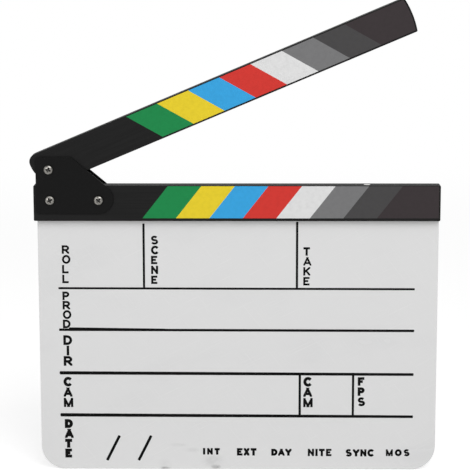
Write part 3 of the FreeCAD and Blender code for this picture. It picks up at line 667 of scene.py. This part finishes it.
black_powder, tree, sockets = new_finish("black_powder", {"Specular IOR Level": 0.09})
place = own_place(tree)
powder = noise(tree, place, POWDER_PER_METRE)
worn = use_group(tree, edge_wear, {"Place": place, "Width": PLATE_RUB_WIDTH})["Wear"]
marks = use_group(tree, handling_marks, {"Place": place, "Smear Scale": PLATE_SMEARS_PER_METRE})
colour = mixed(tree, spread(tree, powder), PLATE_BLACK, PLATE_BLACK_SOFT)
thin = calc(tree, "MULTIPLY", worn, PLATE_RUB_SHARE)
wire(tree, mixed(tree, thin, colour, PLATE_RUBBED), sockets["Base Color"])
smoothed = between(tree, marks["Smear"], PLATE_ROUGHNESS, PLATE_SMEARED_ROUGHNESS)
wire(tree, smoothed, sockets["Roughness"])
wire(tree, bumped(tree, powder, POWDER_STRENGTH, FINE_RELIEF), sockets["Normal"])
dress(black_powder, "front_hinge_plate", "rear_hinge_plate")


# Pivot bearing: a turned brass sleeve that the screw clamps between the plates, and a friction washer
# of natural nylon on each side of the upper stick. The lock nut's insert is a ring of the same nylon.

BRASS = (0.52, 0.36, 0.11, 1)
BRASS_DULL = (0.34, 0.22, 0.07, 1)
BRASS_ROUGHNESS = (0.22, 0.4)
BRASS_PATCHES_PER_METRE = 400
TOOL_MARKS_PER_METRE = 5000
TOOL_MARK_RUN_SHARE = 0.05
NYLON = (0.70, 0.67, 0.58, 1)
NYLON_MILKY = (0.78, 0.76, 0.70, 1)

turned_brass, tree, sockets = new_finish("turned_brass", {"Metallic": 1.0})
place = own_place(tree)
patches = use_group(tree, dull_patches, {"Place": place, "Patch Scale": BRASS_PATCHES_PER_METRE})
wire(tree, mixed(tree, patches["Dull"], BRASS, BRASS_DULL), sockets["Base Color"])
round_sleeve = stretched(tree, place, TOOL_MARK_RUN_SHARE, 1, TOOL_MARK_RUN_SHARE)
tool_marks = noise(tree, round_sleeve, TOOL_MARKS_PER_METRE, detail=1)
wire(tree, spread(tree, tool_marks, *BRASS_ROUGHNESS), sockets["Roughness"])
dress(turned_brass, "pivot_sleeve")

natural_nylon = dulled(
    "natural_nylon",
    {"Specular IOR Level": 0.4},
    patches_per_metre=300,
    colours=(NYLON, NYLON_MILKY),
    roughness=(0.38, 0.52),
)
dress(natural_nylon, "front_friction_washer", "rear_friction_washer", "pivot_nut_insert")


# Screws: three steel machine screws with pan heads and cross recesses, cold headed, thread rolled and
# bright nickel plated. One is the pivot, and two fix the plates to the lower stick. Their heads bear on
# the front plate, and their threads stand out of the nuts behind.

SCREW_SIDES = 48
SCREW_SHANK = 2.0 * MM
HEAD_RIM = 1.0 * MM
HEAD_ROUND_POWER = 2.1
HEAD_DOME_RINGS = 14
THREAD_PITCH = 0.7 * MM
THREAD_DEPTH = 0.4 * MM
THREAD_LENGTH = 9.5 * MM
THREAD_STEPS = 8
TIP_BEVEL = 0.4 * MM
RECESS_REACH, RECESS_REACH_BELOW = 2.7 * MM, 1.0 * MM
RECESS_HALF_WIDTH, RECESS_HALF_WIDTH_BELOW = 0.75 * MM, 0.4 * MM
RECESS_DEPTH = 1.5 * MM
RECESS_POINT = 0.3 * MM
SMOOTH_ANGLE = math.radians(35)
SCREW_TURNS = {"pivot_screw": 20, "left_fixing_screw": 65, "right_fixing_screw": 40}

NICKEL = (0.30, 0.29, 0.27, 1)
NICKEL_DULL = (0.11, 0.105, 0.095, 1)
# Painted shade: the near-black laid on the screw's recess walls, the rim of its head and its shank.
NICKEL_PAINTED_SHADE = (0.03, 0.03, 0.03, 1)
NICKEL_ROUGHNESS = (0.16, 0.3)
NICKEL_PATCHES_PER_METRE = 900
NICKEL_GRAIN_PER_METRE = 2600
# Where the painted shade begins below the crown and where it is full, and how far it darkens the
# nickel.
RIM_SHADE_FROM, RIM_SHADE_TO = -2.3 * MM, -1.2 * MM
RIM_SHADE_MOST = 0.95

head_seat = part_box("front_hinge_plate")[0].y

bright_nickel, tree, sockets = new_finish("bright_nickel", {"Metallic": 1.0})
place = own_place(tree)
patches = use_group(tree, dull_patches, {"Place": place, "Patch Scale": NICKEL_PATCHES_PER_METRE})
plated = mixed(tree, patches["Dull"], NICKEL, NICKEL_DULL)
# Painted shade: from the upper dome towards the seat the nickel turns near black, so the recess, the
# head's rim and the shank are painted dark.
behind_seat = add(tree, "SeparateXYZ", {0: place}).node.outputs["Y"]
painted_rim_shade = ramp(tree, behind_seat, RIM_SHADE_FROM, RIM_SHADE_TO, high=RIM_SHADE_MOST)
wire(tree, mixed(tree, painted_rim_shade, plated, NICKEL_PAINTED_SHADE), sockets["Base Color"])
grain = noise(tree, place, NICKEL_GRAIN_PER_METRE)
wire(tree, spread(tree, grain, *NICKEL_ROUGHNESS), sockets["Roughness"])


def thread_radius(along, angle):
    """Radius of a rolled thread: a rounded tooth that climbs one pitch in a turn."""
    phase = (along / THREAD_PITCH - angle / math.tau) % 1
    return SCREW_SHANK - THREAD_DEPTH * (0.5 + 0.5 * math.cos(math.tau * phase))


def screw_rings(head_radius, head_height, length):
    """Rings of the screw from crown to tip: a distance behind the seat and a radius for each side."""
    angles = [math.tau * side / SCREW_SIDES for side in range(SCREW_SIDES)]
    for ring in range(1, HEAD_DOME_RINGS + 1):
        share = math.sin(math.pi / 2 * ring / HEAD_DOME_RINGS)
        rise = (1 - share**HEAD_ROUND_POWER) ** (1 / HEAD_ROUND_POWER)
        yield -HEAD_RIM - (head_height - HEAD_RIM) * rise, [head_radius * share] * SCREW_SIDES
    yield 0.0, [head_radius] * SCREW_SIDES
    yield 0.0, [SCREW_SHANK] * SCREW_SIDES
    thread_start = length - THREAD_LENGTH
    yield thread_start, [SCREW_SHANK] * SCREW_SIDES
    steps = round(THREAD_LENGTH / THREAD_PITCH * THREAD_STEPS)
    for step in range(1, steps + 1):
        along = thread_start + THREAD_LENGTH * step / steps
        most = SCREW_SHANK - max(0.0, along - (length - TIP_BEVEL))
        yield along, [min(most, thread_radius(along, angle)) for angle in angles]


def turned_blank(rings, crown, tip):
    """Closed mesh through rings about the Y axis, with a point at each end."""
    built = bmesh.new()
    loops = []
    for along, radii in rings:
        loop = []
        for side, radius in enumerate(radii):
            angle = math.tau * side / len(radii)
            loop.append(built.verts.new((radius * math.cos(angle), along, radius * math.sin(angle))))
        loops.append(loop)
    for near, far in zip(loops, loops[1:]):
        for side in range(len(near)):
            after = (side + 1) % len(near)
            built.faces.new((near[side], near[after], far[after], far[side]))
    for loop, end in ((loops[0], crown), (loops[-1], tip)):
        point = built.verts.new((0, end, 0))
        for side in range(len(loop)):
            built.faces.new((loop[side], loop[(side + 1) % len(loop)], point))
    return built


def cross_ring(cutter, reach, half_width, along):
    """Corners of an upright cross on the Y axis."""
    quarter = [(reach, -half_width), (reach, half_width), (half_width, half_width)]
    corners = []
    for turn in range(4):
        spin = Matrix.Rotation(math.pi / 2 * turn, 2)
        corners += [spin @ Vector(corner) for corner in quarter]
    return [cutter.verts.new((x, along, z)) for x, z in corners]


def recess_cutter(crown):
    """Tapered cross with a pointed floor, which the punch leaves in a screw's head."""
    cutter = bmesh.new()
    mouth = cross_ring(cutter, RECESS_REACH, RECESS_HALF_WIDTH, crown - RECESS_POINT)
    floor_ring = cross_ring(cutter, RECESS_REACH_BELOW, RECESS_HALF_WIDTH_BELOW, crown + RECESS_DEPTH)
    point = cutter.verts.new((0, crown + RECESS_DEPTH + RECESS_POINT, 0))
    cutter.faces.new(mouth)
    for corner in range(len(mouth)):
        after = (corner + 1) % len(mouth)
        cutter.faces.new((mouth[corner], mouth[after], floor_ring[after], floor_ring[corner]))
        cutter.faces.new((floor_ring[corner], floor_ring[after], point))
    return cutter


def make_screw(node, turn):
    """Screw in the place of a CAD screw, driven round by a turn in degrees."""
    low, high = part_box(node)
    crown, tip = low.y - head_seat, high.y - head_seat
    head_radius = (high.x - low.x) / 2
    blank = new_object("screw_blank", turned_blank(screw_rings(head_radius, -crown, tip), crown, tip))
    punch = new_object("recess_punch", recess_cutter(crown))
    cut = blank.modifiers.new("recess", "BOOLEAN")
    cut.object = punch
    cut.solver = "EXACT"
    recessed = bmesh.new()
    recessed.from_object(blank, bpy.context.evaluated_depsgraph_get())
    for helper in (blank, punch):
        bpy.data.objects.remove(helper)
    screw = new_object(node + "_bright", recessed)
    screw.data.shade_smooth()
    screw.data.set_sharp_from_angle(angle=SMOOTH_ANGLE)
    screw.location = ((low.x + high.x) / 2, head_seat, (low.z + high.z) / 2)
    screw.rotation_euler = (0, math.radians(turn), 0)
    finish_piece(screw, bright_nickel, "slate")
    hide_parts(node)


for node, turn in SCREW_TURNS.items():
    make_screw(node, turn)


# Washers and nuts: stamped washers and hexagon nuts of zinc plated steel behind the rear plate. The
# pivot's nut has a crimped collar that holds its nylon insert, so that it keeps its setting.

ZINC = (0.50, 0.51, 0.53, 1)
ZINC_DULL = (0.33, 0.34, 0.36, 1)

bright_zinc = dulled(
    "bright_zinc",
    {"Metallic": 1.0},
    patches_per_metre=500,
    colours=(ZINC, ZINC_DULL),
    roughness=(0.24, 0.42),
)
dress(bright_zinc, "pivot_washer", "left_fixing_washer", "right_fixing_washer")
dress(bright_zinc, "pivot_nut", "left_fixing_nut", "right_fixing_nut")


# Magnets: a small nickel plated disc pressed flush into each stick's mating edge. The two snap the
# sticks shut, and clapping has burnished their faces.

MAGNET_NICKEL = (0.68, 0.67, 0.64, 1)
MAGNET_SCUFFED = (0.50, 0.49, 0.47, 1)

burnished_nickel = dulled(
    "burnished_nickel",
    {"Metallic": 1.0},
    patches_per_metre=1600,
    colours=(MAGNET_NICKEL, MAGNET_SCUFFED),
    roughness=(0.18, 0.36),
)
dress(burnished_nickel, "lower_magnet", "upper_magnet")


# Studio: a wide pale floor under the board that runs out into white, a large soft lamp above and to the
# right, a weaker one at the left, and light from all round. The camera stands where the photograph was
# taken from.

FLOOR_RADIUS = 6.0
FLOOR_SIDES = 96
FLOOR_DROP = 0.05 * MM
FLOOR_PALE = (0.80, 0.80, 0.80, 1)
FLOOR_LIFT = 0.53
FLOOR_NEAR, FLOOR_FAR = 0.5, 1.8
AMBIENT = 0.42
AIM = Vector((0, 0, 0.17))
# Lamps: place, width and height, and power.
LAMPS = {
    "overhead_softbox": (Vector((0.55, -1.4, 1.55)), (1.5, 1.1), 17.4),
    "left_fill": (Vector((-1.3, -2.1, 0.8)), (1.2, 1.2), 12.0),
}
CAMERA_PLACE = Vector((14.96 * MM, -1350.0 * MM, 414.7 * MM))
CAMERA_PITCH = math.radians(9.870)
CAMERA_YAW = math.radians(-0.726)
CAMERA_ROLL = math.radians(-0.08)
CAMERA_LENS = 141.47


def seen_directly(tree):
    """One where the camera sees a surface, also in a mirror or through glass, and otherwise zero."""
    path = tree.nodes.new("ShaderNodeLightPath").outputs
    mirrored = calc(tree, "MAXIMUM", path["Is Glossy Ray"], path["Is Transmission Ray"])
    return calc(tree, "MAXIMUM", path["Is Camera Ray"], mirrored)


def blend_shaders(tree, share, first, second):
    """Shader part of the way from the first to the second."""
    return add(tree, "MixShader", {0: share, 1: first, 2: second})


pale_floor = bpy.data.materials.new("pale_floor")
pale_floor.use_nodes = True
tree = pale_floor.node_tree
tree.nodes.remove(tree.nodes["Principled BSDF"])
lit = add(tree, "BsdfDiffuse", {"Color": FLOOR_PALE})
lifted = add(tree, "AddShader", {0: lit, 1: add(tree, "Emission", {"Strength": FLOOR_LIFT})})
white = add(tree, "Emission", {"Strength": 1.0})
reach = add(tree, "VectorMath", {0: own_place(tree)}, operation="LENGTH").node.outputs["Value"]
shown = blend_shaders(tree, ramp(tree, reach, FLOOR_NEAR, FLOOR_FAR), lifted, white)
ground = blend_shaders(tree, seen_directly(tree), lit, shown)
wire(tree, ground, tree.nodes["Material Output"].inputs["Surface"])

disc = bmesh.new()
bmesh.ops.create_circle(disc, cap_ends=True, segments=FLOOR_SIDES, radius=FLOOR_RADIUS)
floor = new_object("studio_floor", disc)
floor.location.z = -FLOOR_DROP
floor.data.materials.append(pale_floor)

world = bpy.data.worlds.new("studio_white")
bpy.context.scene.world = world
world.use_nodes = True
tree = world.node_tree
tree.nodes.clear()
around = add(tree, "Background", {"Strength": AMBIENT})
backdrop = add(tree, "Background", {"Strength": 1.0})
for light in (around, backdrop):
    light.node.inputs["Color"].default_value = (1, 1, 1, 1)
surroundings = blend_shaders(tree, seen_directly(tree), around, backdrop)
wire(tree, surroundings, tree.nodes.new("ShaderNodeOutputWorld").inputs["Surface"])

for name, (spot, (width, height), power) in LAMPS.items():
    lamp = bpy.data.lights.new(name, "AREA")
    lamp.shape = "RECTANGLE"
    lamp.size, lamp.size_y, lamp.energy = width, height, power
    stand = bpy.data.objects.new(name, lamp)
    stand.location = spot
    stand.rotation_euler = (AIM - spot).to_track_quat("-Z", "Y").to_euler()
    bpy.context.collection.objects.link(stand)

lens = bpy.data.cameras.new("photo_camera")
lens.lens = CAMERA_LENS
camera = bpy.data.objects.new("photo_camera", lens)
heading = Matrix.Rotation(-CAMERA_YAW, 4, "Z")
tilt = Matrix.Rotation(math.pi / 2 - CAMERA_PITCH, 4, "X")
roll = Matrix.Rotation(CAMERA_ROLL, 4, "Z")
camera.matrix_world = Matrix.Translation(CAMERA_PLACE) @ heading @ tilt @ roll
bpy.context.collection.objects.link(camera)
bpy.context.scene.camera = camera
bpy.context.scene.view_settings.view_transform = "Standard"
